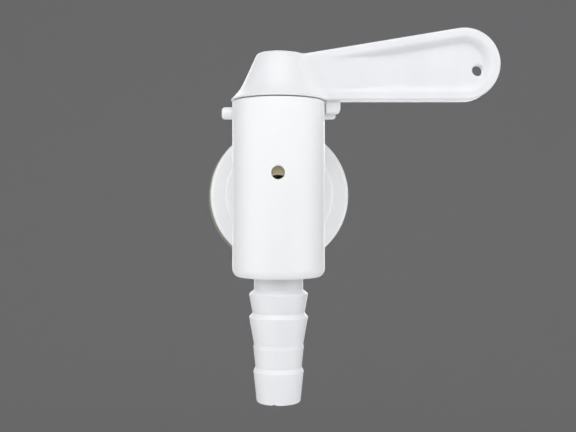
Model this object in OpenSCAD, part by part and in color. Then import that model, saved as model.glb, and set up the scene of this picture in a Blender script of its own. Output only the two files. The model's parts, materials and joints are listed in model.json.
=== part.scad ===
// Lever tap for a fermenting vessel, in millimetres. An upright sleeve carries a flanged,
// threaded shank. A plug turns in the sleeve: it is one moulding with its cap, its paddle
// lever and its barbed hose tail. A rubber washer seals the flange against the vessel.
// The origin is the centre of the washer's sealing face, on the shank's axis. +Y runs along
// the shank into the vessel, +Z up the sleeve, and the lever points to +X when the tap is shut.

/* [Sleeve] */
// Outside diameter of the sleeve
sleeve_d = 25; // [23:0.5:30]
// Height of the sleeve's rim above the shank's axis
sleeve_up = 24.9; // [22:0.1:32]
// Depth of the sleeve's foot below the shank's axis
sleeve_down = 22.5; // [18:0.1:30]
// Thickness of the sleeve's floor, round the throat that the hose tail passes
floor_t = 3.5; // [2.5:0.1:6]
// Radius round the sleeve's foot
foot_round = 2.2; // [0.5:0.1:2.6]
// Radius round the sleeve's rim
rim_round = 0.5; // [0.2:0.1:1]
// Diameter of the small hole in the sleeve's front
front_hole_d = 3.5; // [2:0.1:5]
// Height of that hole above the shank's axis
front_hole_up = 5.2; // [3:0.1:9]

/* [Plug] */
// Diameter of the plug at the sleeve's rim
plug_d = 19.8; // [19:0.1:20.6]
// How much narrower the plug is at its foot
plug_taper = 1.2; // [0.4:0.1:1.6]
// Running clearance between plug and sleeve, on the radius
fit_gap = 0.05; // [0.02:0.01:0.1]
// Free height under the cap and under the plug's foot
end_gap = 0.2; // [0.1:0.05:0.5]
// Height of the ridge that snaps into the sleeve's groove
snap_h = 0.35; // [0.2:0.05:0.6]
// Width of that ridge
snap_w = 1.8; // [1:0.1:3]
// How far the ridge lies below the sleeve's rim
snap_down = 4.6; // [3:0.1:8]
// Diameter of the plug's side port and of the passage behind it
port_d = 9.4; // [7:0.1:11]
// Diameter of the chamber inside the plug
chamber_d = 9; // [7:0.1:9.2]
// How far the chamber reaches above the port
chamber_over = 3; // [1:0.1:8]

/* [Cap] */
// How far the cap's lip overhangs the sleeve
lip_over = 0.37; // [0.1:0.01:1]
// Height of the cap above its lip
cap_h = 12.75; // [11:0.05:15]
// Radius of the flat top, before its edge is rounded
cap_top_r = 5.8; // [4:0.1:7]
// Slope of the cap's cone from upright
cone_angle = 24.6; // [18:0.2:28]
// Slope of the flared skirt from upright
skirt_angle = 45; // [38:1:55]
// Length of each leg of the bend between cone and skirt
flare_leg = 2.4; // [1:0.1:2.8]
// Radius round the top's edge
top_round = 0.7; // [0.2:0.1:1.5]
// Height of the lip's upright edge
lip_edge = 0.25; // [0.1:0.05:0.6]

/* [Lever] */
// Reach of the lever from the sleeve's axis
lever_reach = 59.5; // [45:0.5:80]
// Radius of the lever's round end
lever_end_r = 9.7; // [8.5:0.1:12]
// Thickness of the lever
lever_t = 6; // [5:0.1:8]
// How far the lever's back starts below the cap's top
lever_drop = 0.5; // [0.2:0.1:2]
// Width of the rim round the lever's panels
panel_rim = 2.6; // [1.5:0.1:3.5]
// Width of the panels' sloping walls
panel_slope = 1.1; // [0.4:0.1:1.6]
// Depth of each panel
panel_depth = 1.8; // [0.8:0.1:2.2]
// Where each panel starts to sink, from the sleeve's axis
panel_from = 15; // [14:0.5:20]
// Length of the ramp down to a panel's full depth
panel_ramp = 15; // [6:0.5:18]
// Diameter of the hole near the lever's end
hang_hole_d = 3; // [2:0.1:4]
// Land between that hole and the foot of the panel's sloping wall
hang_hole_land = 0.3; // [0.1:0.1:2]
// How far the hole is turned down round the centre of the lever's round end
hang_hole_turn = 22; // [0:1:60]

/* [Stops] */
// Diameter of the two stop pegs on the sleeve
peg_d = 3.3; // [2:0.1:3.6]
// How far the pegs stand out from the sleeve
peg_out = 3.1; // [2:0.1:5]
// How far the pegs' axis lies below the sleeve's rim
peg_down = 2.7; // [2.2:0.1:3.2]
// Radius round each peg's tip
peg_round = 1.1; // [0.3:0.05:1.6]
// How deep each peg's root is sunk in the sleeve's wall
peg_root = 0.3; // [0.1:0.1:0.8]
// Width of the lug that hangs from the lever, along the lever
lug_w = 3.9; // [2.5:0.1:5]
// Thickness of the lug
lug_t = 3.2; // [2:0.1:5]
// How far the lug hangs below the lever
lug_down = 3.4; // [2.5:0.1:5]
// Clearance of the lug to the sleeve, and to a peg at each end of its travel
lug_gap = 0.25; // [0.1:0.05:0.5]
// Radius round the lug's lower outer corner
lug_round = 1.1; // [0.3:0.1:1.6]

/* [Hose tail] */
// Diameter of the two upper barbs
upper_barb_d = 15.9; // [14:0.1:17]
// Diameter of the two lower barbs
lower_barb_d = 13.6; // [13.5:0.1:15]
// Diameter of the neck between sleeve and barbs
neck_d = 13.3; // [12:0.1:14]
// Length of the neck, down to the first barb's edge
neck_len = 4.45; // [3:0.05:10]
// Length of the first barb of each pair
short_barb = 6.25; // [4:0.05:9]
// Length of the second barb of each pair
long_barb = 8.4; // [5:0.05:12]
// Taper of the upper barbs, in degrees
upper_taper = 9.8; // [9.2:0.2:11]
// Taper of the lower barbs, in degrees
lower_taper = 6; // [3:0.2:7]
// Height of the shoulder above each barb's edge
shoulder_h = 1.1; // [0.6:0.1:2]
// Bore of the hose tail
tail_bore_d = 9.4; // [9.3:0.1:10]
// Radius round the tail's tip
tip_round = 0.9; // [0.3:0.1:1.2]
// How far the journal above the neck stands out past the widest barb, on the radius
journal_over = 0.2; // [0.05:0.05:0.5]

/* [Shank] */
// Outside diameter over the thread
shank_d = 26.44; // [24:0.01:33.2]
// Length of the shank beyond the washer
shank_len = 25; // [16:0.5:40]
// Depth of the plain groove under the washer
relief_depth = 1.12; // [0.6:0.02:1.6]
// Chamfer at the shank's end
shank_chamfer = 1.2; // [0.5:0.1:2]
// Bore of the shank
shank_bore_d = 18; // [12:0.1:19]
// Length of the cone from that bore down to the passage
bore_cone = 3; // [1.5:0.1:5]
// Diameter of the flange
flange_d = 40.5; // [36:0.5:50]
// Thickness of the flange
flange_t = 3.5; // [2.5:0.1:6]
// Radius round the flange's front edge
flange_round = 1.2; // [0.4:0.1:2]
// Diameter of the raised disc on the flange's front
hub_d = 31.2; // [26:0.1:34]
// Height of that disc
hub_h = 1.5; // [0.8:0.1:3]
// Chamfer round that disc's edge
hub_chamfer = 0.5; // [0.1:0.1:0.7]
// Diameter of the throat between sleeve and flange
throat_d = 21; // [16:0.5:23]
// Clear distance between the sleeve's back and the raised disc
throat_len = 4.5; // [2:0.1:15]
// Radius where the throat meets the raised disc
throat_round = 1.2; // [0.3:0.1:1.6]

/* [Washer] */
// Thickness of the washer
washer_t = 3; // [2:0.1:5]
// How far the washer reaches beyond the flange, on the radius
washer_over = 0.35; // [-1:0.05:1]
// Play between the washer's hole and the thread, on the diameter
washer_play = 1.56; // [1:0.02:3]
// How far the loose washer has slipped aside, and down
washer_aside = 0.4; // [0:0.05:0.4]
washer_below = 0.25; // [0:0.05:0.3]

/* [Hidden] */
$fn = 96;
bit = 0.01;
lap = 1;

sleeve_r = sleeve_d / 2;
shank_r = shank_d / 2;
flange_back = -washer_t;
flange_front = flange_back - flange_t;
hub_front = flange_front - hub_h;
axis_y = hub_front - throat_len - sleeve_r;
floor_z = floor_t - sleeve_down;
plug_foot_z = floor_z + end_gap;
lip_z = sleeve_up + end_gap;
cap_top_z = lip_z + cap_h;
lip_r = sleeve_r + lip_over;
journal_r = upper_barb_d / 2 + journal_over;
tail_top = -sleeve_down + end_gap;
first_barb_z = -sleeve_down - neck_len;
tail_end = first_barb_z - 2 * (short_barb + long_barb);
chamber_top = port_d / 2 + chamber_over;
peg_z = sleeve_up - peg_down;
peg_y = lug_t / 2 + lug_gap + peg_d / 2;

// Centre of the lever's round end, and the upper edge that touches it from the cap's top
end_c = [lever_reach - lever_end_r, lip_z + lever_end_r];
root_top = [cap_top_r, cap_top_z - lever_drop];
end_dir = end_c - root_top;
edge_angle = atan2(end_dir[1], end_dir[0]) + asin(lever_end_r / norm(end_dir));
edge_touch = end_c + lever_end_r * [-sin(edge_angle), cos(edge_angle)];
hang_hole_r = lever_end_r - panel_rim - panel_slope - hang_hole_land - hang_hole_d / 2;
hang_hole_c = end_c + hang_hole_r * [cos(hang_hole_turn), -sin(hang_hole_turn)];

// Points of an arc about c, from angle a0 to a1
function arc(c, r, a0, a1, n = 6) =
    [for (i = [0 : n]) let (a = a0 + (a1 - a0) * i / n) c + r * [cos(a), sin(a)]];

// Points of a soft bend from a to b, drawn towards the corner k
function bend(a, k, b, n = 6) =
    [for (i = [0 : n]) let (t = i / n) (1 - t) * (1 - t) * a + 2 * t * (1 - t) * k + t * t * b];

// Radius of the tapered plug at height z
function plug_r(z) =
    plug_d / 2 - plug_taper / 2 * (sleeve_up - z) / (sleeve_up - plug_foot_z);

// The plug's wall with its snap ridge, grown by a gap: the same points make the sleeve's bore
function plug_wall(gap, foot, top) =
    let (z = sleeve_up - snap_down, half = snap_w / 2)
    [[plug_r(foot) + gap, foot],
     [plug_r(z - half) + gap, z - half],
     [plug_r(z) + snap_h + gap, z - half / 4],
     [plug_r(z) + snap_h + gap, z + half / 4],
     [plug_r(z + half) + gap, z + half],
     [plug_r(top) + gap, top]];

// A barb's taper, from the next barb's shoulder up to its own edge
function barb(z_edge, edge_r, taper, length) =
    let (run = length - shoulder_h)
    [[edge_r - run * tan(taper), z_edge - run], [edge_r, z_edge]];

// The hose tail's outline, from its rounded tip up to the neck
function tail_points() =
    let (upper_r = upper_barb_d / 2,
         lower_r = lower_barb_d / 2,
         z2 = first_barb_z - short_barb,
         z3 = z2 - long_barb,
         z4 = z3 - short_barb,
         tip_r = lower_r - long_barb * tan(lower_taper))
    concat(
        arc([tip_r - tip_round, tail_end + tip_round], tip_round, -90, 0, 4),
        [[lower_r, z4]],
        barb(z3, lower_r, lower_taper, short_barb),
        barb(z2, upper_r, upper_taper, long_barb),
        barb(first_barb_z, upper_r, upper_taper, short_barb),
        [[neck_d / 2, first_barb_z + shoulder_h], [neck_d / 2, tail_top]]);

// The cap's outline, from its lip up to the rounded edge of its flat top
function cap_points() =
    let (cone = tan(cone_angle),
         skirt = tan(skirt_angle),
         skirt_z = lip_z + lip_edge,
         meet_z = (lip_r - cap_top_r + skirt * skirt_z - cone * cap_top_z) / (skirt - cone),
         meet = [lip_r - skirt * (meet_z - skirt_z), meet_z],
         leg = min(flare_leg, 0.9 * (meet_z - skirt_z) / cos(skirt_angle)),
         top_edge = [cap_top_r, cap_top_z])
    concat(
        [[lip_r, lip_z], [lip_r, skirt_z]],
        bend(meet + leg * [sin(skirt_angle), -cos(skirt_angle)], meet,
             meet + leg * [-sin(cone_angle), cos(cone_angle)]),
        bend(top_edge + top_round * [sin(cone_angle), -cos(cone_angle)], top_edge,
             top_edge - [top_round, 0], 4));

// Turns what stands on z into what lies along +y
module along_y() {
    rotate([-90, 0, 0]) children();
}

// Turning body of the spigot: hose tail, journal, tapered plug and cap
module spigot_core() {
    rotate_extrude()
        polygon(concat(
            [[0, tail_end]],
            tail_points(),
            [[journal_r, tail_top], [journal_r, plug_foot_z]],
            plug_wall(0, plug_foot_z, lip_z),
            cap_points(),
            [[0, cap_top_z]]));
}

// Height of the lever's upper edge at a distance from the sleeve's axis, set in by a margin
function upper_edge(x, margin) =
    edge_touch[1] - (edge_touch[0] - x) * tan(edge_angle) - margin / cos(edge_angle);

// The lever's side view
module lever_outline() {
    polygon([[0, lip_z], [end_c[0], lip_z], end_c, edge_touch, root_top, [0, root_top[1]]]);
    translate(end_c) circle(r = lever_end_r);
}

// A panel's outline at one depth: its round end and its straight inner edge
module panel_outline(margin, from_x) {
    low = lip_z + margin;
    translate(end_c) circle(r = lever_end_r - margin, $fn = 48);
    translate([from_x, low]) square([bit, upper_edge(from_x, margin) - low]);
}

// The hollow of a panel, sinking from the lever's face, with sloping walls and a long ramp
module panel() {
    deep_from = panel_from + panel_ramp;
    hull() {
        translate([0, 0, lever_t / 2])
            linear_extrude(lap) panel_outline(panel_rim, panel_from);
        translate([0, 0, lever_t / 2 - panel_depth])
            linear_extrude(bit) panel_outline(panel_rim + panel_slope, deep_from);
    }
}

// The lug's side view, with its lower outer corner rounded
module lug_outline() {
    inner = sleeve_r + lug_gap;
    outer = inner + lug_w;
    low = lip_z - lug_down;
    polygon(concat(
        [[inner, lip_z + lap], [inner, low]],
        arc([outer - lug_round, low + lug_round], lug_round, -90, 0),
        [[outer, lip_z + lap]]));
}

// The paddle lever with a panel in each face, its hole and the lug under its root
module lever() {
    rotate([90, 0, 0]) {
        difference() {
            translate([0, 0, -lever_t / 2]) linear_extrude(lever_t) lever_outline();
            panel();
            mirror([0, 0, 1]) panel();
            translate([hang_hole_c[0], hang_hole_c[1], -lever_t])
                cylinder(d = hang_hole_d, h = 2 * lever_t);
        }
        translate([0, 0, -lug_t / 2]) linear_extrude(lug_t) lug_outline();
    }
}

// The waterway through the spigot: bore of the tail, chamber in the plug and side port
module waterway() {
    translate([0, 0, tail_end - lap]) cylinder(d = tail_bore_d, h = floor_z - tail_end + lap);
    translate([0, 0, floor_z - bit]) cylinder(d = chamber_d, h = chamber_top - floor_z + bit);
    rotate([90, 0, 0]) cylinder(d = port_d, h = sleeve_r);
}

module lever_spigot() {
    color("gainsboro")
        translate([0, axis_y, 0])
            difference() {
                union() {
                    spigot_core();
                    lever();
                }
                waterway();
            }
}

// Outside of the sleeve, rounded at its foot and its rim
module sleeve_outside() {
    rotate_extrude()
        polygon(concat(
            [[0, -sleeve_down]],
            arc([sleeve_r - foot_round, foot_round - sleeve_down], foot_round, -90, 0, 8),
            arc([sleeve_r - rim_round, sleeve_up - rim_round], rim_round, 0, 90, 4),
            [[0, sleeve_up]]));
}

// Inside of the sleeve: throat in the floor, then the plug's seat with its snap groove
module sleeve_inside() {
    rotate_extrude()
        polygon(concat(
            [[0, -sleeve_down - lap], [journal_r + fit_gap, -sleeve_down - lap],
             [journal_r + fit_gap, floor_z]],
            plug_wall(fit_gap, floor_z, sleeve_up + lap),
            [[0, sleeve_up + lap]]));
}

// Throat, raised disc, flange, relief groove and shank, turned about the shank's axis
module shank_outside() {
    hub_r = hub_d / 2;
    flange_r = flange_d / 2;
    throat_r = throat_d / 2;
    relief_r = shank_r - relief_depth;
    along_y()
        rotate_extrude()
            polygon(concat(
                [[0, axis_y], [throat_r, axis_y]],
                bend([throat_r, hub_front - throat_round], [throat_r, hub_front],
                     [throat_r + throat_round, hub_front], 4),
                [[hub_r - hub_chamfer, hub_front], [hub_r, hub_front + hub_chamfer],
                 [hub_r, flange_front]],
                arc([flange_r - flange_round, flange_front + flange_round], flange_round,
                    -90, 0, 6),
                [[flange_r, flange_back], [relief_r, flange_back],
                 [relief_r, -relief_depth], [shank_r, 0],
                 [shank_r, shank_len - shank_chamfer],
                 [shank_r - shank_chamfer, shank_len], [0, shank_len]]));
}

// The way through: the shank's bore, a cone in the flange, and the passage to the plug's seat
module shank_inside() {
    along_y() {
        translate([0, 0, flange_back])
            cylinder(d = shank_bore_d, h = shank_len - flange_back + lap);
        translate([0, 0, flange_back - bore_cone])
            cylinder(d1 = port_d, d2 = shank_bore_d, h = bore_cone + bit);
        translate([0, 0, axis_y])
            cylinder(d = port_d, h = flange_back - axis_y - bore_cone + bit);
    }
}

// A round-ended stop peg that stands out of the sleeve along +X
module stop_peg() {
    peg_r = peg_d / 2;
    tip_r = min(peg_round, peg_r - bit);
    inner = sqrt(pow(sleeve_r, 2) - pow(peg_y + peg_r, 2)) - peg_root;
    reach = sleeve_r + peg_out;
    translate([0, peg_y, peg_z])
        rotate([0, 90, 0])
            rotate_extrude()
                polygon(concat(
                    [[0, inner], [peg_r, inner]],
                    arc([peg_r - tip_r, reach - tip_r], tip_r, 0, 90, 5),
                    [[0, reach]]));
}

module tap_body() {
    color("white")
        difference() {
            union() {
                shank_outside();
                translate([0, axis_y, 0]) {
                    sleeve_outside();
                    stop_peg();
                    mirror([1, 0, 0]) stop_peg();
                }
            }
            shank_inside();
            translate([0, axis_y, 0]) {
                sleeve_inside();
                translate([0, 0, front_hole_up])
                    rotate([90, 0, 0]) cylinder(d = front_hole_d, h = sleeve_r + lap);
            }
        }
}

module sealing_washer() {
    color("darkgray")
        translate([-washer_aside, -washer_t, -washer_below])
            along_y()
                difference() {
                    cylinder(d = flange_d + 2 * washer_over, h = washer_t);
                    translate([0, 0, -lap])
                        cylinder(d = shank_d + washer_play, h = washer_t + 2 * lap);
                }
}

tap_body();
lever_spigot();
sealing_washer();
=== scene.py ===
import json
import math

import bpy
import numpy as np
import openvdb
from mathutils import Matrix, Vector


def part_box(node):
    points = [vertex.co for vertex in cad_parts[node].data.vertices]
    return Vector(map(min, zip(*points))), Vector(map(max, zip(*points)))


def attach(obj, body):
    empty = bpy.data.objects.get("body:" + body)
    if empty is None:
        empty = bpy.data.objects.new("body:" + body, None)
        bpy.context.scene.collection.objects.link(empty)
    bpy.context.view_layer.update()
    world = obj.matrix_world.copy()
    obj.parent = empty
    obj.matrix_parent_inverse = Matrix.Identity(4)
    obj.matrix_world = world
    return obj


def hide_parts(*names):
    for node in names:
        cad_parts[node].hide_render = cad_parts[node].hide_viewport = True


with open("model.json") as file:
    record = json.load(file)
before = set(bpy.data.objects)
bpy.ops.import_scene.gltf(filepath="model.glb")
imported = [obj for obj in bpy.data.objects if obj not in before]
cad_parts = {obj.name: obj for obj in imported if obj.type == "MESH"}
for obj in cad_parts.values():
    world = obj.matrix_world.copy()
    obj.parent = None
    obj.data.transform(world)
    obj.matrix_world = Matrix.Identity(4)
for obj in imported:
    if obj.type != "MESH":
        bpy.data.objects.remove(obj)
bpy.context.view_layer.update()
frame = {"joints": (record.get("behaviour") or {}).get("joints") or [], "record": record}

# Tap body. One moulding in white polypropylene: an upright sleeve, and behind it a throat, a
# flange and a long shank, bored through. Two pegs near the rim stop the lever, and a small
# hole in the front lets the hose drain. The mould leaves every edge a little round.
mm = 0.001
mounts = {mount["name"]: mount for mount in frame["record"]["mounts"]}
body_low, body_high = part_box("tap_body")
washer_low, washer_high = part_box("sealing_washer")

axis_y = frame["joints"][0]["pos_m"][1]
sleeve_r = axis_y - body_low.y
foot_z, rim_z = body_low.z, body_high.z
floor_t = 3.5 * mm
plug_top_r, plug_foot_r = 9.9 * mm, 9.3 * mm
snap_z, snap_h, snap_half = rim_z - 4.6 * mm, 0.35 * mm, 0.9 * mm
fit_gap = 0.05 * mm
journal_r = 8.15 * mm

flange_back = washer_low.y
flange_front = flange_back - 3.5 * mm
hub_front = flange_front - 1.5 * mm
flange_r, hub_r, throat_r = body_high.x, 15.6 * mm, 10.5 * mm
shank_end = body_high.y
thread_r = mounts["shank"]["dims"]["r_mm"] * mm
core_r = thread_r - 1.16 * mm
shank_bore_r = mounts["inlet_bore"]["dims"]["r_mm"] * mm
passage_r = mounts["spout_bore"]["dims"]["r_mm"] * mm
hole_r, hole_z = 1.75 * mm, 5.2 * mm
peg_r, peg_reach = 1.65 * mm, 15.6 * mm
peg_y, peg_z = 3.5 * mm, rim_z - 2.7 * mm
turn_steps = 160


def rounded(corners, steps=5):
    """Points of an outline whose corners are (radius from the axis, height, rounding)."""
    points = []
    for before, corner, after in zip([corners[-1], *corners], corners, [*corners[1:], corners[0]]):
        here = Vector(corner[:2])
        to_before, to_after = Vector(before[:2]) - here, Vector(after[:2]) - here
        if not corner[2] or not to_before.length or not to_after.length:
            points.append(tuple(here))
            continue
        half = to_before.angle(to_after) / 2
        room = 0.49 * min(to_before.length, to_after.length) * math.tan(half)
        radius = min(corner[2], room)
        to_before.normalize()
        to_after.normalize()
        centre = here + (to_before + to_after).normalized() * radius / math.sin(half)
        first = here + to_before * radius / math.tan(half) - centre
        last = here + to_after * radius / math.tan(half) - centre
        for i in range(steps + 1):
            points.append(tuple(centre + first.slerp(last, i / steps) * radius))
    return points


def new_piece(name, points, faces):
    mesh = bpy.data.meshes.new(name)
    mesh.from_pydata([tuple(p) for p in points], [], faces)
    mesh.validate()
    piece = bpy.data.objects.new(name, mesh)
    bpy.context.collection.objects.link(piece)
    return piece


def lathe(name, outline, place, steps=turn_steps):
    """A closed solid turned from an outline that runs anticlockwise in (radius, height)."""
    angles = np.arange(steps) * 2 * math.pi / steps
    points, rings = [], []
    for radius, height in outline:
        count = steps if radius > 1e-7 else 1
        rings.append(list(range(len(points), len(points) + count)))
        points += [place @ Vector((radius * math.cos(a), radius * math.sin(a), height))
                   for a in angles[:count]]
    faces = []
    for lower, upper in zip(rings, rings[1:] + rings[:1]):
        for i in range(steps):
            corners = [lower[i % len(lower)], lower[(i + 1) % steps % len(lower)],
                       upper[(i + 1) % steps % len(upper)], upper[i % len(upper)]]
            face = list(dict.fromkeys(corners))
            if len(face) > 2:
                faces.append(face)
    return new_piece(name, points, faces)


def combine(base, tool, operation):
    """Joins the tool to the base, or cuts it out, and leaves the base a plain mesh."""
    step = base.modifiers.new("combine", "BOOLEAN")
    step.operation, step.solver, step.object = operation, "EXACT", tool
    made = bpy.data.meshes.new_from_object(
        base.evaluated_get(bpy.context.evaluated_depsgraph_get()))
    base.modifiers.clear()
    base.data = made
    bpy.data.objects.remove(tool)


def root_fillet(along, aside, height, boss_r, fillet_r, steps=120, bends=6):
    """The soft root where a round boss leaves the sleeve: the path of a ball that rolls in the
    corner between them. along and aside are the boss's direction and its sideways place."""
    across = Vector((0, 0, 1)).cross(along)
    points, faces = [], []
    for i in range(steps):
        angle = 2 * math.pi * i / steps
        side = aside + (boss_r + fillet_r) * math.cos(angle)
        flat = along * math.sqrt((sleeve_r + fillet_r) ** 2 - side ** 2) + across * side
        rise = Vector((0, 0, (boss_r + fillet_r) * math.sin(angle)))
        ball = Vector((0, axis_y, height)) + flat + rise
        to_sleeve = -flat.normalized()
        to_boss = -(across * math.cos(angle) + Vector((0, 0, math.sin(angle))))
        for j in range(bends + 1):
            points.append(ball + to_sleeve.slerp(to_boss, j / bends) * (fillet_r + 0.005 * mm))
        points.append(ball + (to_sleeve + to_boss) * fillet_r * 1.2)
        ring, after = i * (bends + 2), (i + 1) % steps * (bends + 2)
        for j in range(bends + 2):
            k = (j + 1) % (bends + 2)
            faces.append([ring + j, after + j, after + k, ring + k])
    return new_piece("root_fillet", points, faces)


def join(base, *others):
    """Puts closed shells of one moulding into one mesh."""
    points = [v.co.copy() for v in base.data.vertices]
    faces = [list(f.vertices) for f in base.data.polygons]
    for other in others:
        start = len(points)
        points += [v.co.copy() for v in other.data.vertices]
        faces += [[start + v for v in f.vertices] for f in other.data.polygons]
        bpy.data.objects.remove(other)
    base.data.clear_geometry()
    base.data.from_pydata(points, [], faces)


def soften(piece, angle=32):
    """Smooth shading, with an edge kept where two faces meet at more than the angle."""
    piece.data.shade_smooth()
    piece.data.set_sharp_from_angle(angle=math.radians(angle))


def plug_r(z):
    seat_foot = foot_z + floor_t
    return plug_foot_r + (plug_top_r - plug_foot_r) * (z - seat_foot) / (rim_z - seat_foot)


def plug_wall(gap, foot, top):
    """The plug's side with its snap ridge. Grown by a gap, it is the sleeve's seat."""
    return [(plug_r(foot) + gap, foot, 0),
            (plug_r(snap_z - snap_half) + gap, snap_z - snap_half, 0.3 * mm),
            (plug_r(snap_z) + snap_h + gap, snap_z - snap_half / 4, 0.2 * mm),
            (plug_r(snap_z) + snap_h + gap, snap_z + snap_half / 4, 0.2 * mm),
            (plug_r(snap_z + snap_half) + gap, snap_z + snap_half, 0.3 * mm),
            (plug_r(top) + gap, top, 0)]


upright = Matrix.Translation((0, axis_y, 0))
half_step = Matrix.Rotation(math.pi / turn_steps, 4, "Z")
lying = Matrix.Rotation(math.radians(-90), 4, "X")
tap_body = lathe("tap_moulding", rounded([
    (0, foot_z, 0),
    (sleeve_r, foot_z, 2.2 * mm),
    (sleeve_r, rim_z, 0.5 * mm),
    (0, rim_z, 0)]), upright)
shank = lathe("shank", rounded([
    (0, axis_y, 0),
    (throat_r, axis_y, 0),
    (throat_r, hub_front, 1.2 * mm),
    (hub_r, hub_front, 0.5 * mm),
    (hub_r, flange_front, 0.3 * mm),
    (flange_r, flange_front, 1.2 * mm),
    (flange_r, flange_back, 0.25 * mm),
    (core_r, flange_back, 0.3 * mm),
    (core_r, shank_end, 0.5 * mm),
    (0, shank_end, 0)]), lying)
combine(tap_body, shank, "UNION")
for side in (-1, 1):
    peg = lathe("peg", rounded([
        (0, sleeve_r - 1.4 * mm, 0),
        (peg_r, sleeve_r - 1.4 * mm, 0),
        (peg_r, peg_reach, 1.1 * mm),
        (0, peg_reach, 0)]),
        Matrix.Translation((0, axis_y + peg_y, peg_z)) @ Matrix.Rotation(side * math.pi / 2, 4, "Y"),
        steps=48)
    combine(tap_body, peg, "UNION")
seat = lathe("seat", rounded([
    (0, foot_z - mm, 0),
    (journal_r + fit_gap, foot_z - mm, 0),
    (journal_r + fit_gap, foot_z + floor_t, 0),
    *plug_wall(fit_gap, foot_z + floor_t, rim_z - 0.3 * mm),
    (plug_r(rim_z) + 0.45 * mm, rim_z + 0.2 * mm, 0),
    (0, rim_z + 0.2 * mm, 0)]), upright @ half_step)
combine(tap_body, seat, "DIFFERENCE")
way = lathe("way", rounded([
    (0, axis_y, 0),
    (passage_r, axis_y, 0),
    (passage_r, flange_back - 3 * mm, 0),
    (shank_bore_r, flange_back, 0),
    (shank_bore_r, shank_end - 0.5 * mm, 0),
    (shank_bore_r + 0.8 * mm, shank_end + 0.3 * mm, 0),
    (0, shank_end + 0.3 * mm, 0)]), lying)
combine(tap_body, way, "DIFFERENCE")
front_hole = lathe("front_hole", rounded([
    (0, plug_foot_r, 0),
    (hole_r, plug_foot_r, 0),
    (hole_r, sleeve_r - 0.3 * mm, 0.2 * mm),
    (hole_r + 0.25 * mm, sleeve_r + 0.2 * mm, 0),
    (0, sleeve_r + 0.2 * mm, 0)]),
    Matrix.Translation((0, axis_y, hole_z)) @ Matrix.Rotation(math.radians(90), 4, "X"), steps=64)
combine(tap_body, front_hole, "DIFFERENCE")
join(tap_body,
     root_fillet(Vector((0, 1, 0)), 0, 0, throat_r, 1.2 * mm),
     root_fillet(Vector((1, 0, 0)), peg_y, peg_z, peg_r, 0.35 * mm, steps=48),
     root_fillet(Vector((-1, 0, 0)), -peg_y, peg_z, peg_r, 0.35 * mm, steps=48))
soften(tap_body)


class Shade:
    """A socket in a material, so that sums and products on it add Math nodes."""

    def __init__(self, tree, socket):
        self.tree, self.socket = tree, socket

    def worked(self, operation, first, second):
        node = self.tree.nodes.new("ShaderNodeMath")
        node.operation = operation
        for slot, value in zip(node.inputs, (first, second)):
            if isinstance(value, Shade):
                self.tree.links.new(value.socket, slot)
            else:
                slot.default_value = value
        return Shade(self.tree, node.outputs[0])

    def __add__(self, other):
        return self.worked("ADD", self, other)

    def __radd__(self, other):
        return self.worked("ADD", other, self)

    def __sub__(self, other):
        return self.worked("SUBTRACT", self, other)

    def __rsub__(self, other):
        return self.worked("SUBTRACT", other, self)

    def __mul__(self, other):
        return self.worked("MULTIPLY", self, other)

    def __rmul__(self, other):
        return self.worked("MULTIPLY", other, self)


class Finish:
    """A surface finish: one Principled shader, its even values, and what varies over it."""

    def __init__(self, name, **even):
        self.material = bpy.data.materials.new(name)
        self.material.use_nodes = True
        self.tree = self.material.node_tree
        self.shader = self.tree.nodes["Principled BSDF"]
        for socket, value in even.items():
            self.shader.inputs[socket.replace("_", " ")].default_value = value

    def node(self, kind, settings={}, values={}, output=None):
        node = self.tree.nodes.new("ShaderNode" + kind)
        for key, setting in settings.items():
            setattr(node, key, setting)
        for key, value in values.items():
            slot = next(s for s in node.inputs if key in (s.identifier, s.name) and s.enabled)
            if isinstance(value, Shade):
                self.tree.links.new(value.socket, slot)
            else:
                slot.default_value = value
        made = [s for s in node.outputs if s.enabled and output in (None, s.name)]
        return Shade(self.tree, made[0])

    def drive(self, socket, shade):
        self.tree.links.new(shade.socket, self.shader.inputs[socket])

    def place(self):
        return self.node("TexCoord", output="Object")

    def grain(self, scale, detail=2.0, stretch=(1, 1, 1)):
        """Noise from 0 to 1 on the piece's own coordinates, with scale in cycles a metre."""
        here = self.node("Mapping", {}, {"Vector": self.place(), "Scale": stretch})
        return self.node("TexNoise", {}, {"Vector": here, "Scale": scale, "Detail": detail})

    def coordinate(self, axis):
        return self.node("SeparateXYZ", {}, {"Vector": self.place()}, axis)

    def mixed(self, factor, first, second):
        return self.node("Mix", {"data_type": "RGBA"}, {
            "Factor_Float": factor, "A_Color": first, "B_Color": second})

    def between(self, shade, low, high):
        """How far a shade has come from low to high, held between 0 and 1."""
        return self.node("MapRange", {}, {"Value": shade, "From Min": low, "From Max": high})


# White polypropylene straight from a polished mould: an even milky white with a faint flow
# mottle, a satin gloss that varies a little where it was handled, and a very fine skin.
body_plastic = Finish("body_plastic", IOR=1.49, Subsurface_Weight=0.25,
                      Subsurface_Radius=(1.0, 0.95, 0.9), Subsurface_Scale=1.2 * mm)
flow = body_plastic.grain(90, 3, (1, 1, 0.3))
body_plastic.drive("Base Color", body_plastic.mixed(
    body_plastic.between(flow, 0.35, 0.65), (0.87, 0.885, 0.895, 1), (0.90, 0.905, 0.91, 1)))
handled = body_plastic.between(body_plastic.grain(160, 4), 0.4, 0.75)
body_plastic.drive("Roughness", 0.34 + handled * 0.1)
skin = body_plastic.grain(2400, 2) * 0.5 + body_plastic.grain(420, 2)
body_plastic.drive("Normal", body_plastic.node("Bump", {}, {
    "Strength": 0.12, "Distance": 0.05 * mm, "Height": skin}, "Normal"))
tap_body.data.materials.append(body_plastic.material)
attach(tap_body, "body")
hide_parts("tap_body")

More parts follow.
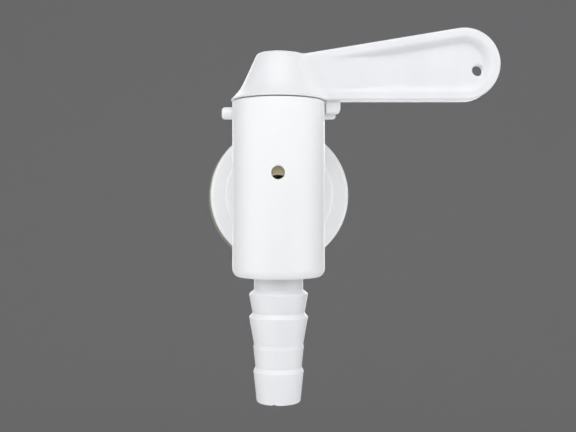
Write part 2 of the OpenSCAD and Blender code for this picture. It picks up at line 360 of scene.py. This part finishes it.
# Pipe thread on the shank. It is moulded with the body: a right-hand ridge of 14 turns to the
# inch, with a blunt crest, that rises from the core behind the washer and dies away at the end.
thread_pitch = 25.4 / 14 * mm
thread_start, thread_end = 1.2 * mm, shank_end - 0.7 * mm
thread_turns = (thread_end - thread_start) / thread_pitch
thread_sunk = 0.15 * mm
thread_depth = thread_r - core_r + thread_sunk
crest_w, root_w, crest_round = 0.32 * mm, 1.67 * mm, 0.14 * mm
run_in, run_out = 0.6 / thread_turns, 0.5 / thread_turns


class Weave:
    """A Geometry Nodes tree in the making, with its named inputs."""

    def __init__(self, name, **inputs):
        self.tree = bpy.data.node_groups.new(name, "GeometryNodeTree")
        kinds = {float: "NodeSocketFloat", int: "NodeSocketInt",
                 bpy.types.Material: "NodeSocketMaterial"}
        self.values = {}
        for key, value in inputs.items():
            kind = next(k for t, k in kinds.items() if isinstance(value, t))
            item = self.tree.interface.new_socket(key, in_out="INPUT", socket_type=kind)
            self.values[item.identifier] = value
        self.tree.interface.new_socket(
            "Geometry", in_out="OUTPUT", socket_type="NodeSocketGeometry")
        self.given = self.tree.nodes.new("NodeGroupInput")

    def input(self, key):
        return self.given.outputs[key]

    def node(self, kind, settings={}, values={}, output=0):
        node = self.tree.nodes.new(kind)
        for key, setting in settings.items():
            setattr(node, key, setting)
        for key, value in values.items():
            slot = next(s for s in node.inputs if key in (s.identifier, s.name) and s.enabled)
            if isinstance(value, bpy.types.NodeSocket):
                self.tree.links.new(value, slot)
            else:
                slot.default_value = value
        return node.outputs[output]

    def grow(self, name, geometry):
        """Runs the tree on an empty mesh and returns the result as a plain piece."""
        real = self.node("GeometryNodeRealizeInstances", {}, {"Geometry": geometry})
        end = self.node("GeometryNodeSetMaterial", {}, {
            "Geometry": real, "Material": self.input("finish")})
        self.tree.links.new(end, self.tree.nodes.new("NodeGroupOutput").inputs[0])
        piece = new_piece(name, [], [])
        step = piece.modifiers.new("grow", "NODES")
        step.node_group = self.tree
        for identifier, value in self.values.items():
            step[identifier] = value
        made = bpy.data.meshes.new_from_object(
            piece.evaluated_get(bpy.context.evaluated_depsgraph_get()))
        piece.modifiers.remove(step)
        piece.data = made
        return piece


thread = Weave("pipe_thread", turns=thread_turns, pitch=thread_pitch, radius=core_r - thread_sunk,
               depth=thread_depth, crest=crest_w, root=root_w, rounding=crest_round, steps=96,
               finish=body_plastic.material)
path = thread.node("GeometryNodeCurveSpiral", {}, {
    "Resolution": thread.input("steps"),
    "Rotations": thread.input("turns"),
    "Start Radius": thread.input("radius"),
    "End Radius": thread.input("radius"),
    "Height": thread.node("ShaderNodeMath", {"operation": "MULTIPLY"}, {
        "Value": thread.input("turns"), "Value_001": thread.input("pitch")})})
path = thread.node("GeometryNodeSetCurveNormal", {"mode": "Z_UP"}, {"Curve": path})
along = thread.node("GeometryNodeSplineParameter")
fade_in = thread.node("ShaderNodeMapRange", {}, {"Value": along, "From Max": run_in})
fade_out = thread.node("ShaderNodeMapRange", {}, {
    "Value": along, "From Min": 1 - run_out, "From Max": 1.0, "To Min": 1.0, "To Max": 0.0})
ridge = thread.node("GeometryNodeCurvePrimitiveQuadrilateral", {"mode": "TRAPEZOID"}, {
    "Bottom Width": thread.input("root"), "Top Width": thread.input("crest"), "Offset": 0.0,
    "Height": thread.input("depth")})
ridge = thread.node("GeometryNodeFilletCurve", {"mode": "POLY"}, {
    "Curve": ridge, "Count": 3, "Radius": thread.input("rounding")})
ridge = thread.node("GeometryNodeTransform", {}, {
    "Geometry": ridge, "Translation": (0, thread_depth / 2, 0)})
ridge = thread.node("GeometryNodeTransform", {}, {"Geometry": ridge, "Rotation": (0, 0, math.pi / 2)})
wound = thread.node("GeometryNodeCurveToMesh", {}, {
    "Curve": path, "Profile Curve": ridge, "Fill Caps": True,
    "Scale": thread.node("ShaderNodeMath", {"operation": "MULTIPLY"}, {
        "Value": fade_in, "Value_001": fade_out})})
wound = thread.node("GeometryNodeTransform", {}, {
    "Geometry": wound, "Translation": (0, thread_start, 0), "Rotation": (-math.pi / 2, 0, 0)})
shank_thread = thread.grow("shank_thread", wound)
soften(shank_thread, 40)
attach(shank_thread, "body")

# Sealing washer. A flat ring cut from soft grey-beige rubber, pushed over the shank against
# the flange's back. It is loose, so it has slipped a little to one side.
washer_r = (washer_high.x - washer_low.x) / 2
washer_bore_r = 14 * mm
washer_x, washer_z = (washer_high.x + washer_low.x) / 2, (washer_high.z + washer_low.z) / 2
washer_at = Matrix.Translation((washer_x, 0, washer_z))
washer = lathe("rubber_washer", rounded([
    (washer_bore_r, washer_low.y, 0.15 * mm),
    (washer_r, washer_low.y, 0.35 * mm),
    (washer_r, washer_high.y, 0.35 * mm),
    (washer_bore_r, washer_high.y, 0.15 * mm)]), washer_at @ lying)
soften(washer)
rubber = Finish("washer_rubber", IOR=1.5, Specular_IOR_Level=0.3)
specks = rubber.between(rubber.grain(1500, 3), 0.55, 0.7)
rubber.drive("Base Color", rubber.mixed(specks, (0.27, 0.26, 0.22, 1), (0.36, 0.35, 0.31, 1)))
rubber.drive("Roughness", 0.72 + rubber.grain(300, 3) * 0.15)
rubber.drive("Normal", rubber.node("Bump", {}, {
    "Strength": 0.4, "Distance": 0.1 * mm, "Height": rubber.grain(1200, 4)}, "Normal"))
washer.data.materials.append(rubber.material)
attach(washer, "body")
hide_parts("sealing_washer")

# Plug and hose tail. The lower end of the spigot moulding, in a slightly milkier grade whose white is
# also a little darker than the body's as painted shade, since the tail gets less light: a hollow
# tapered plug with a port in its side, a plain neck, and four barbs in two sizes. The tail's end is
# trimmed by hand, which leaves a nick.
spigot_low, spigot_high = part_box("lever_spigot")
tail_end = spigot_low.z
lip_z = rim_z + 0.2 * mm
tail_top = foot_z + 0.2 * mm
neck_r, upper_r, lower_r = 6.65 * mm, 7.95 * mm, 6.8 * mm
first_z = foot_z - 4.45 * mm
second_z = first_z - 6.25 * mm
third_z = second_z - 8.4 * mm
fourth_z = third_z - 6.25 * mm
shoulder = 1.1 * mm
chamber_r, chamber_top = 4.5 * mm, passage_r + 3 * mm
upper_slope, lower_slope = math.tan(math.radians(9.8)), math.tan(math.radians(6))
barb_round = 0.25 * mm


def barb(z, radius, slope, length):
    """A barb's edge and the narrow end of its taper, which the next barb's shoulder meets."""
    run = length - shoulder
    return [(radius - slope * run, z - run, 0.3 * mm), (radius, z, barb_round)]


tip_r = lower_r - lower_slope * (fourth_z - tail_end)
spigot = lathe("spigot_plug_and_tail", rounded([
    (passage_r, tail_end, 0.2 * mm),
    (tip_r, tail_end, 0.9 * mm),
    (lower_r, fourth_z, barb_round),
    *barb(third_z, lower_r, lower_slope, third_z - fourth_z),
    *barb(second_z, upper_r, upper_slope, second_z - third_z),
    *barb(first_z, upper_r, upper_slope, first_z - second_z),
    (neck_r, first_z + shoulder, 0.3 * mm),
    (neck_r, tail_top, 0),
    (journal_r, tail_top, 0.2 * mm),
    (journal_r, foot_z + floor_t + 0.2 * mm, 0),
    *plug_wall(0, foot_z + floor_t + 0.2 * mm, lip_z + 1.5 * mm),
    (0, lip_z + 1.5 * mm, 0),
    (0, chamber_top, 0),
    (chamber_r, chamber_top, 0.5 * mm),
    (chamber_r, foot_z + floor_t, 0),
    (passage_r, foot_z + floor_t, 0)]), upright)
port = lathe("side_port", rounded([
    (0, 0, 0),
    (passage_r, 0, 0),
    (passage_r, sleeve_r, 0),
    (0, sleeve_r, 0)]),
    Matrix.Translation((0, axis_y, 0)) @ Matrix.Rotation(math.radians(90), 4, "X"), steps=96)
combine(spigot, port, "DIFFERENCE")
nick_x, nick_w, nick_h = -1.1 * mm, 0.4 * mm, 0.28 * mm
for v in spigot.data.vertices:
    near_tip = max(0, 1 - (v.co.z - tail_end) / (1.2 * mm))
    if near_tip and v.co.y < axis_y:
        v.co.z += nick_h * near_tip * math.exp(-((v.co.x - nick_x) / nick_w) ** 2)
soften(spigot)

# Painted shade: through the front hole the plug's wall inside the sleeve is coloured a darker, warm
# yellow-beige that stands in for the shade and warm bounce light in there.
spigot_plastic = Finish("spigot_plastic", IOR=1.49, Subsurface_Weight=0.35,
                        Subsurface_Radius=(1.0, 0.97, 0.95), Subsurface_Scale=1.6 * mm)
flow = spigot_plastic.grain(90, 3, (1, 1, 0.3))
# Partly painted shade: the spigot's white is a little darker and bluer than the body's, for a more
# translucent grade and for the lesser light on the tail.
milky_white_and_shade = spigot_plastic.mixed(
    spigot_plastic.between(flow, 0.35, 0.65), (0.80, 0.81, 0.835, 1), (0.84, 0.845, 0.86, 1))
across, behind = spigot_plastic.coordinate("X"), spigot_plastic.coordinate("Y") - axis_y
up = spigot_plastic.coordinate("Z")
above_foot = spigot_plastic.between(up, foot_z, foot_z + mm)
below_rim = spigot_plastic.between(up, rim_z, rim_z - mm)
near_axis = spigot_plastic.between(across * across + behind * behind,
                                   (plug_top_r + 0.9 * mm) ** 2, (plug_top_r + 0.5 * mm) ** 2)
# The plug's wall inside the sleeve, from the foot up to the rim, takes the painted warm shade.
painted_shade_on_plug = near_axis * above_foot * below_rim
spigot_plastic.drive("Base Color", spigot_plastic.mixed(painted_shade_on_plug, milky_white_and_shade, (0.74, 0.63, 0.42, 1)))
handled = spigot_plastic.between(spigot_plastic.grain(160, 4), 0.4, 0.75)
spigot_plastic.drive("Roughness", 0.36 + handled * 0.1)
skin = spigot_plastic.grain(2400, 2) * 0.5 + spigot_plastic.grain(420, 2)
spigot_plastic.drive("Normal", spigot_plastic.node("Bump", {}, {
    "Strength": 0.12, "Distance": 0.05 * mm, "Height": skin}, "Normal"))
spigot.data.materials.append(spigot_plastic.material)
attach(spigot, "spigot")
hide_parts("lever_spigot")

# Cap and paddle lever. The upper end of the same moulding: a cone with a flared skirt over the
# sleeve's rim, and a flat lever whose faces are sunk to a panel with sloping walls. All its
# inner corners are soft, so it is drawn as a field of distances, in millimetres, and skinned.
hang = Vector(mounts["hang_hole"]["pos_m"]) / mm
lip, cap_top = lip_z / mm, lip_z / mm + 12.75
lip_r, lip_edge, cap_top_r = 12.87, 0.25, 5.8
cone_angle, skirt_angle = math.radians(24.6), math.radians(45)
lever_end_r = 9.7
lever_end = Vector((spigot_high.x / mm - lever_end_r, spigot_high.z / mm - lever_end_r))
lever_root_r = 5.6
lever_root = Vector((0, lip + lever_root_r))
lever_t, panel_rim, panel_slope, panel_depth = 6.0, 2.6, 1.1, 1.8
panel_from, panel_ramp = 15.0, 15.0
lug_in, lug_out, lug_low, lug_half = 12.75, 16.65, lip - 3.4, 1.6
grid_step, probe, pulls, pull_share = 0.21, 0.02, 3, 0.8


def blended(a, b, reach):
    """The nearer of two surfaces, with a soft corner where they meet."""
    near = np.maximum(reach - np.abs(a - b), 0) / reach
    return np.minimum(a, b) - near * near * reach / 4


def trimmed(a, b, radius):
    """What is inside both surfaces, with a rounded edge where they meet."""
    outside = np.hypot(np.maximum(a + radius, 0), np.maximum(b + radius, 0))
    return np.minimum(np.maximum(a, b), -radius) + outside


def held(t, softness):
    """t held between 0 and 1, with soft ends."""
    return -blended(-blended(t, 1.0, softness), 0.0, softness)


def lever_edge(x, z):
    """Distance to the lever's outline: two circles and the lines that touch both."""
    line = lever_end - lever_root
    length = line.length
    along = ((x - lever_root.x) * line.x + (z - lever_root.y) * line.y) / length
    across = np.abs((x - lever_root.x) * line.y - (z - lever_root.y) * line.x) / length
    lean = (lever_root_r - lever_end_r) / length
    upright_part = math.sqrt(1 - lean * lean)
    turn = along * upright_part - across * lean
    side = across * upright_part + along * lean - lever_root_r
    root = np.hypot(across, along) - lever_root_r
    end = np.hypot(across, along - length) - lever_end_r
    return np.where(turn < 0, root, np.where(turn > upright_part * length, end, side))


def cap_and_lever(x, y, z):
    """Distance to the moulding's surface, below 0 inside it."""
    from_axis = np.hypot(x, y)
    skirt = ((from_axis - lip_r) * math.cos(skirt_angle)
             + (z - lip - lip_edge) * math.sin(skirt_angle))
    cone = (from_axis - cap_top_r) * math.cos(cone_angle) + (z - cap_top) * math.sin(cone_angle)
    cap = trimmed(blended(skirt, cone, 0.84), z - cap_top, 0.7)
    cap = trimmed(cap, from_axis - lip_r, 0.1)
    edge = lever_edge(x, z)
    wall = held((-edge - panel_rim) / panel_slope, 0.5)
    ramp = held((x - panel_from) / panel_ramp, 0.3)
    sunk = panel_depth * blended(wall, ramp, 0.15)
    lever = trimmed(edge, np.abs(y) - lever_t / 2 + sunk, 0.5)
    whole = trimmed(blended(cap, lever, 1.8), lip - z, 0.25)
    lug = trimmed(x - lug_out, lug_low - z, 1.1)
    lug = trimmed(trimmed(lug, lug_in - x, 0.2), np.abs(y) - lug_half, 0.3)
    whole = blended(whole, np.maximum(lug, z - lip - 2), 0.4)
    hole = np.hypot(x - hang.x, z - hang.z) - mounts["hang_hole"]["dims"]["r_mm"]
    return trimmed(whole, -hole, 0.25)


field_low = np.array([-lip_r, -lip_r, lug_low]) - 3 * grid_step
field_high = np.array([spigot_high.x / mm, lip_r, spigot_high.z / mm]) + 3 * grid_step
axes = [np.arange(a, b, grid_step, dtype=np.float32) for a, b in zip(field_low, field_high)]
field = openvdb.FloatGrid(3 * grid_step)
cells = np.meshgrid(*axes, indexing="ij", sparse=True)
field.copyFromArray(cap_and_lever(*cells).astype(np.float32))
points, triangles, quads = field.convertToPolygons(isovalue=0.0, adaptivity=0.02)
points = points * grid_step + field_low


for pull in range(pulls):
    change = [cap_and_lever(*(points + step).T) - cap_and_lever(*(points - step).T)
              for step in probe * np.eye(3)]
    slope = np.stack(change, axis=1) / (2 * probe)
    short = cap_and_lever(*points.T) / (slope ** 2).sum(axis=1)
    points = points - short[:, None] * slope * pull_share
faces = [list(face) for face in triangles] + [list(face) for face in quads]
cap = new_piece("spigot_cap_and_lever", points * mm + np.array([0, axis_y, 0]), faces)
cap.data.shade_smooth()
cap.data.materials.append(spigot_plastic.material)
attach(cap, "spigot")
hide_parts("lever_spigot")

# Studio. A pale seamless sweep far behind and below the tap, soft lamps round it, and the
# camera where the photographer's was: level, a hand's breadth away, a little right and low.
camera_distance, camera_x, camera_z = 230 * mm, 2.55 * mm, -6 * mm
image_width, focal_pixels = 576, 849
camera = bpy.data.objects.new("camera", bpy.data.cameras.new("camera"))
camera.data.sensor_width = 36
camera.data.lens = 36 * focal_pixels / image_width
camera.location = (camera_x, axis_y - camera_distance, camera_z)
camera.rotation_euler = (math.radians(90), 0, 0)
bpy.context.collection.objects.link(camera)
bpy.context.scene.camera = camera

floor_z, floor_r, sweep_r, wall_top, sweep_steps = -0.5, 1.6, 1.2, 2.5, 96
sweep = [(floor_r + sweep_r * math.sin(a), floor_z + sweep_r * (1 - math.cos(a)))
         for a in np.linspace(0, math.radians(90), 24)] + [(floor_r + sweep_r, wall_top)]
points = [(0, 0, floor_z)]
for radius, height in sweep:
    points += [(radius * math.cos(a), radius * math.sin(a), height)
               for a in np.arange(sweep_steps) * 2 * math.pi / sweep_steps]
faces = [[0, 1 + i, 1 + (i + 1) % sweep_steps] for i in range(sweep_steps)]
for ring in range(len(sweep) - 1):
    start = 1 + ring * sweep_steps
    for i in range(sweep_steps):
        here, beside = start + i, start + (i + 1) % sweep_steps
        faces.append([here, here + sweep_steps, beside + sweep_steps, beside])
backdrop = new_piece("backdrop", points, faces)
backdrop.data.shade_smooth()
paper = Finish("backdrop_paper", Roughness=0.9, Specular_IOR_Level=0.1)
paper.drive("Base Color", paper.mixed(
    paper.grain(30, 3), (0.60, 0.60, 0.61, 1), (0.62, 0.62, 0.63, 1)))
backdrop.data.materials.append(paper.material)


def lamp(name, place, size, watts):
    """A soft square lamp that faces the tap and doesn't show in the picture."""
    light = bpy.data.objects.new(name, bpy.data.lights.new(name, "AREA"))
    light.data.shape, light.data.size = "SQUARE", size
    light.data.energy = watts
    light.location = place
    aim = Vector((0.01, axis_y, -0.005)) - Vector(place)
    light.rotation_euler = aim.to_track_quat("-Z", "Y").to_euler()
    light.visible_camera = False
    bpy.context.collection.objects.link(light)


lamp("front", (0, -0.60, 0.50), 0.8, 4.4)
lamp("left", (-0.70, -0.35, 0.10), 0.8, 3.3)
lamp("right", (0.70, -0.35, 0.10), 0.8, 3.1)
lamp("back", (0, 0.75, 0.25), 0.9, 5.8)
lamp("low", (0, -0.05, -0.48), 0.6, 1.0)
world = bpy.data.worlds.new("studio_air")
world.use_nodes = True
air = world.node_tree.nodes["Background"]
air.inputs["Color"].default_value = (1, 1, 1, 1)
air.inputs["Strength"].default_value = 0.21
bpy.context.scene.world = world
bpy.context.scene.view_settings.view_transform = "Standard"
